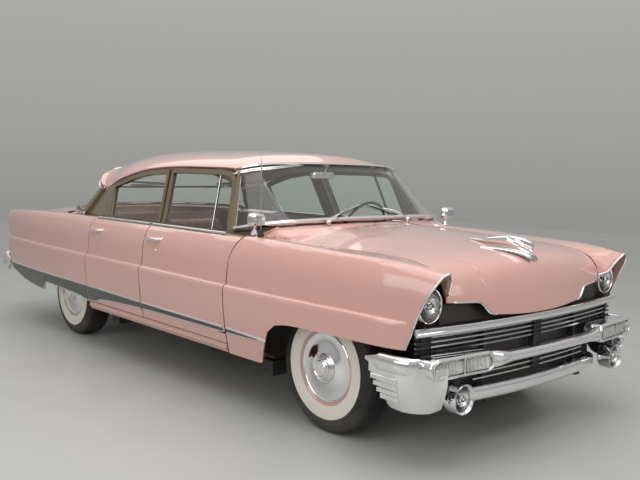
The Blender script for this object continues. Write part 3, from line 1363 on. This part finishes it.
WHEEL_MID, WHEEL_AXIS = Vector((0.977, 0.370, 1.003)), Vector((-0.927, 0, 0.375)).normalized()
WHEEL_UP = Vector((0.375, 0, 0.927)).normalized()
WHEEL_SIDE = Vector((0, 1, 0))


def on_wheel(angle, r, lift=0.0):
    """A point in the wheel's plane, or lifted from it, by angle and radius."""
    across, up = r * math.cos(angle), r * math.sin(angle)
    return WHEEL_MID + WHEEL_UP * up + WHEEL_SIDE * across + WHEEL_AXIS * lift


grip = [(0.0095 * u, 0.203 + 0.0105 * w) for u, w in ring(1.0, 14)]
sets = [(*lathe_data(grip, WHEEL_MID, WHEEL_AXIS, 96, True), 0)]
for a in (math.radians(-12), math.radians(192)):
    spoke = [on_wheel(a, 0.03, -0.028), on_wheel(a, 0.10, -0.022), on_wheel(a, 0.197)]
    sets.append((*tube_data(spoke, 0.0085, 12, WHEEL_AXIS), 0))
horn = [on_wheel(math.radians(a), 0.118, -0.004) for a in range(170, 371, 8)]
sets.append((*tube_data(horn, 0.0042, 10, WHEEL_AXIS), 1))
sets.append((*lathe_data([(-0.06, 0.034), (-0.012, 0.034), (-0.006, 0.030), (-0.002, 0.018), (0.0, 0.0)], WHEEL_MID,
                         WHEEL_AXIS, 40), 1))
sets.append((*lathe_data([(-0.09, 0.0), (-0.09, 0.026), (-0.052, 0.030), (-0.052, 0.0)], WHEEL_MID,
                         WHEEL_AXIS, 32), 0))
sets.append((*tube_data([WHEEL_MID - WHEEL_AXIS * 0.085, WHEEL_MID - WHEEL_AXIS * 0.095], 0.024, 20,
                        WHEEL_SIDE), 0))
merged("steering_wheel_dressed", sets, [BLACK, CHROME], "body", 45, replaces=("steering_wheel",), slot="cabin")

# Instruments: three plain dials before the driver

DASH_X, DIAL_Z = 1.005, 0.955
dial_sets = []
for y, r in ((0.24, 0.042), (0.37, 0.055), (0.50, 0.042)):
    spot = (DASH_X, y, DIAL_Z)
    dial_sets.append((*lathe_data([(0.0, r), (0.010, r), (0.012, r * 0.94), (0.008, r * 0.88), (0.004, r * 0.86),
                                   (0.004, 0.0)], spot, BACKWARD, 48), 0))
    dial_sets.append((*lathe_data([(0.0042, r * 0.86), (0.0050, r * 0.84), (0.0050, 0.0)], spot, BACKWARD, 40), 1))
merged("dials", dial_sets, [CHROME, BLACK], "body", 40, slot="chrome")

# Kick panels ahead of the front doors

KICK_Y, BOARD_HALF = 0.80, 0.003
merged("kick_panel", [plain_box((1.250, s * KICK_Y - BOARD_HALF, 0.345), (1.353, s * KICK_Y + BOARD_HALF, 1.03))
                      for s in (-1, 1)], [CARPET], "body", 30, slot="cabin")

# Boards that line the boot's sides, from its floor to just under the lid

BOOT_SKIN = Skin("deck_lid", "rear_body", "quarter_right")
BOOT_SIDE, BOOT_LOW, LID_ROOM = 0.624, 0.456, 0.020
board_rows = []
for x in spread(40, -2.440, -1.330):
    over = [BOOT_SKIN.hit((x, -BOOT_SIDE + d, 0.62), (0, 0, 1)) for d in (-0.004, 0.0, 0.004)]
    top = min([found[0].z for found in over if found] + [1.0]) - LID_ROOM
    board_rows.append([Vector((x, -BOOT_SIDE + d * BOARD_HALF, z)) for d, z in
                       ((-1, BOOT_LOW), (1, BOOT_LOW), (1, top), (-1, top))])
pair("boot_board", [loft_data(board_rows)], [CARPET], slot="cabin")

# Dark inner walls of the front wheel houses

HOUSE_Y = 0.463
merged("wheel_house", [plain_box((1.575, s * HOUSE_Y - BOARD_HALF, 0.36), (2.34, s * HOUSE_Y + BOARD_HALF, 0.74))
                       for s in (-1, 1)], [BLACK], "body", 30, slot="chassis")


# Smooth corner between cowl and fender, and the bright strip along the belt

CORNER_SKIN = Skin("cowl", "fender_right")


def cowl_corner():
    """A taut patch over the seam, held at its border by the panels below."""
    n = 22
    xs, ys = spread(n, 1.345, 1.505), spread(n, -0.585, -0.868)

    def height(x, y):
        """Top of the panels, or of what lies next to a seam."""
        for dx, dy in ((0, 0), (0, 0.008), (0, -0.008), (0.02, 0), (0.035, 0.01), (0.05, 0)):
            hit = CORNER_SKIN.hit((x + dx, y + dy, 1.3), (0, 0, -1))
            if hit and hit[0].z > 0.95:
                return hit[0].z
        return 1.03

    def relaxed(film, own):
        """Each inner point drawn to its four neighbours; own is the weight that it keeps."""
        return [[film[i][j] if i in (0, n) or j in (0, n) else
                 (own * film[i][j] + film[i - 1][j] + film[i + 1][j] + film[i][j - 1] + film[i][j + 1]) / (own + 4)
                 for j in range(n + 1)] for i in range(n + 1)]

    floor = [[height(x, y) for y in ys] for x in xs]
    film = [row[:] for row in floor]
    for _ in range(160):
        film = relaxed(film, 0)
    film = [[max(a, b) for a, b in zip(r, s)] for r, s in zip(film, floor)]
    for _ in range(4):
        film = relaxed(film, 4)
    top, low = [], []
    for i, x in enumerate(xs):
        for j, y in enumerate(ys):
            edge = min(i, j, n - i, n - j)
            top.append(Vector((x, y, film[i][j] + 0.0004 + 0.0006 * min(edge, 3))))
            low.append(Vector((x, y, film[i][j] - 0.004)))
    m, below = n + 1, (n + 1) ** 2
    faces = [(i * m + j, i * m + j + 1, (i + 1) * m + j + 1, (i + 1) * m + j) for i in range(n) for j in range(n)]
    under = [tuple(below + k for k in reversed(f)) for f in faces]
    border = list(range(m)) + [i * m + n for i in range(1, m)]
    border += [n * m + j for j in range(n - 1, -1, -1)] + [i * m for i in range(n - 1, 0, -1)]
    wall = [(border[k], border[k - 1], below + border[k - 1], below + border[k]) for k in range(len(border))]
    pair("cowl_corner", [(top + low, faces + under + wall)], [PAINT], "body", 40, slot="paint")


cowl_corner()


def belt_strip(name, x0, x1, body):
    """Bright strip along a door's belt, under its glass."""
    path = [Vector((x, on_side(x, 1.020)[0].y + 0.005, 1.031)) for x in spread(24, x0, x1)]
    outline = [(-0.008, -0.004), (-0.0075, 0.002), (-0.004, 0.0052), (0.0, 0.006), (0.004, 0.0052),
               (0.0075, 0.002), (0.008, -0.004)]
    pair(name, [strip_data(path, (0, -0.75, 0.66), outline)], [CHROME], body, 45, slot="chrome")


belt_strip("belt_strip_front", 0.212, 1.10, "door_front_{}")
belt_strip("belt_strip_rear", -0.62, 0.172, "door_rear_{}")


# Studio and camera

def studio():
    """A plain pale floor."""
    floor = bpy.data.meshes.new("studio_floor")
    far = 14.0
    floor.from_pydata([(-far, -far, 0), (far, -far, 0), (far, far, 0), (-far, far, 0)], [], [(0, 1, 2, 3)])
    mat, tree, shader = finish_of("studio_concrete", Specular_IOR_Level=0.3)
    tone = use(tree, MOTTLE, Colour_A=(0.40, 0.41, 0.40, 1), Colour_B=(0.47, 0.475, 0.465, 1), Broad_Scale=1.4,
               Grain_Scale=160.0)
    gloss = use(tree, RUB, Low=0.32, High=0.5, Scale=2.0)
    link(tree, tone, "Colour", shader, "Base Color")
    link(tree, gloss, "Roughness", shader, "Roughness")
    bump(tree, tone, "Grain", shader, 0.05, 0.001)
    floor.materials.append(mat)
    obj = bpy.data.objects.new("studio_floor", floor)
    bpy.context.scene.collection.objects.link(obj)


def world_light():
    """Soft light from all round, brighter from above."""
    world = bpy.data.worlds.new("soft_room")
    bpy.context.scene.world = world
    world.use_nodes = True
    tree = world.node_tree
    back = tree.nodes["Background"]
    place = add(tree, "ShaderNodeTexCoord")
    split = add(tree, "ShaderNodeSeparateXYZ")
    ramp = add(tree, "ShaderNodeValToRGB")
    for spot, level in ((0.0, 0.30), (0.47, 0.34), (0.53, 0.42), (0.75, 0.62), (1.0, 0.9)):
        stops = ramp.color_ramp.elements
        stop = stops[-int(spot)] if spot in (0.0, 1.0) else stops.new(spot)
        stop.color = (level, level * 0.995, level * 0.98, 1)
    shift = add(tree, "ShaderNodeMapRange", From_Min=-1.0, From_Max=1.0)
    link(tree, place, "Generated", split, "Vector")
    link(tree, split, "Z", shift, "Value")
    tree.links.new(shift.outputs[0], ramp.inputs["Fac"])
    link(tree, ramp, "Color", back, "Color")
    back.inputs["Strength"].default_value = 0.85


def area_light(name, place, aim, size, power, colour=(1, 0.985, 0.96)):
    lamp = bpy.data.lights.new(name, "AREA")
    lamp.shape = "RECTANGLE"
    lamp.size, lamp.size_y = size
    lamp.energy = power
    lamp.color = colour
    obj = bpy.data.objects.new(name, lamp)
    obj.location = place
    obj.rotation_euler = (Vector(aim) - Vector(place)).to_track_quat("-Z", "Y").to_euler()
    bpy.context.scene.collection.objects.link(obj)


def photo_camera():
    """The camera that was fitted to the photograph."""
    data = bpy.data.cameras.new("photo_camera")
    data.lens, data.sensor_width = 44.014, 36.0
    obj = bpy.data.objects.new("photo_camera", data)
    a, e, roll = (math.radians(v) for v in (48.564, 5.191, 1.049))
    back = Vector((math.sin(a) * math.cos(e), -math.cos(a) * math.cos(e), math.sin(e)))
    right = Vector((math.cos(a), math.sin(a), 0))
    up = back.cross(right)
    right, up = right * math.cos(roll) + up * math.sin(roll), up * math.cos(roll) - right * math.sin(roll)
    turn = Matrix((right, up, back)).transposed().to_4x4()
    obj.matrix_world = Matrix.Translation((5.021, -3.612, 1.429)) @ turn
    data.clip_end = 100
    bpy.context.scene.collection.objects.link(obj)
    bpy.context.scene.camera = obj


studio()
world_light()
area_light("ceiling_front", (2.6, -1.2, 4.2), (1.2, 0, 0.6), (6.0, 4.2), 120)
area_light("ceiling_rear", (-2.2, 0.4, 4.4), (-1.0, 0, 0.6), (6.0, 4.6), 70)
area_light("side_soft", (2.0, -6.0, 2.6), (0.3, 0, 0.6), (6.0, 2.2), 74)
area_light("front_soft", (7.0, 0.8, 2.4), (2.2, 0, 0.6), (3.2, 2.0), 36)
photo_camera()
bpy.context.scene.view_settings.view_transform = "Standard"

bpy.context.view_layer.update()
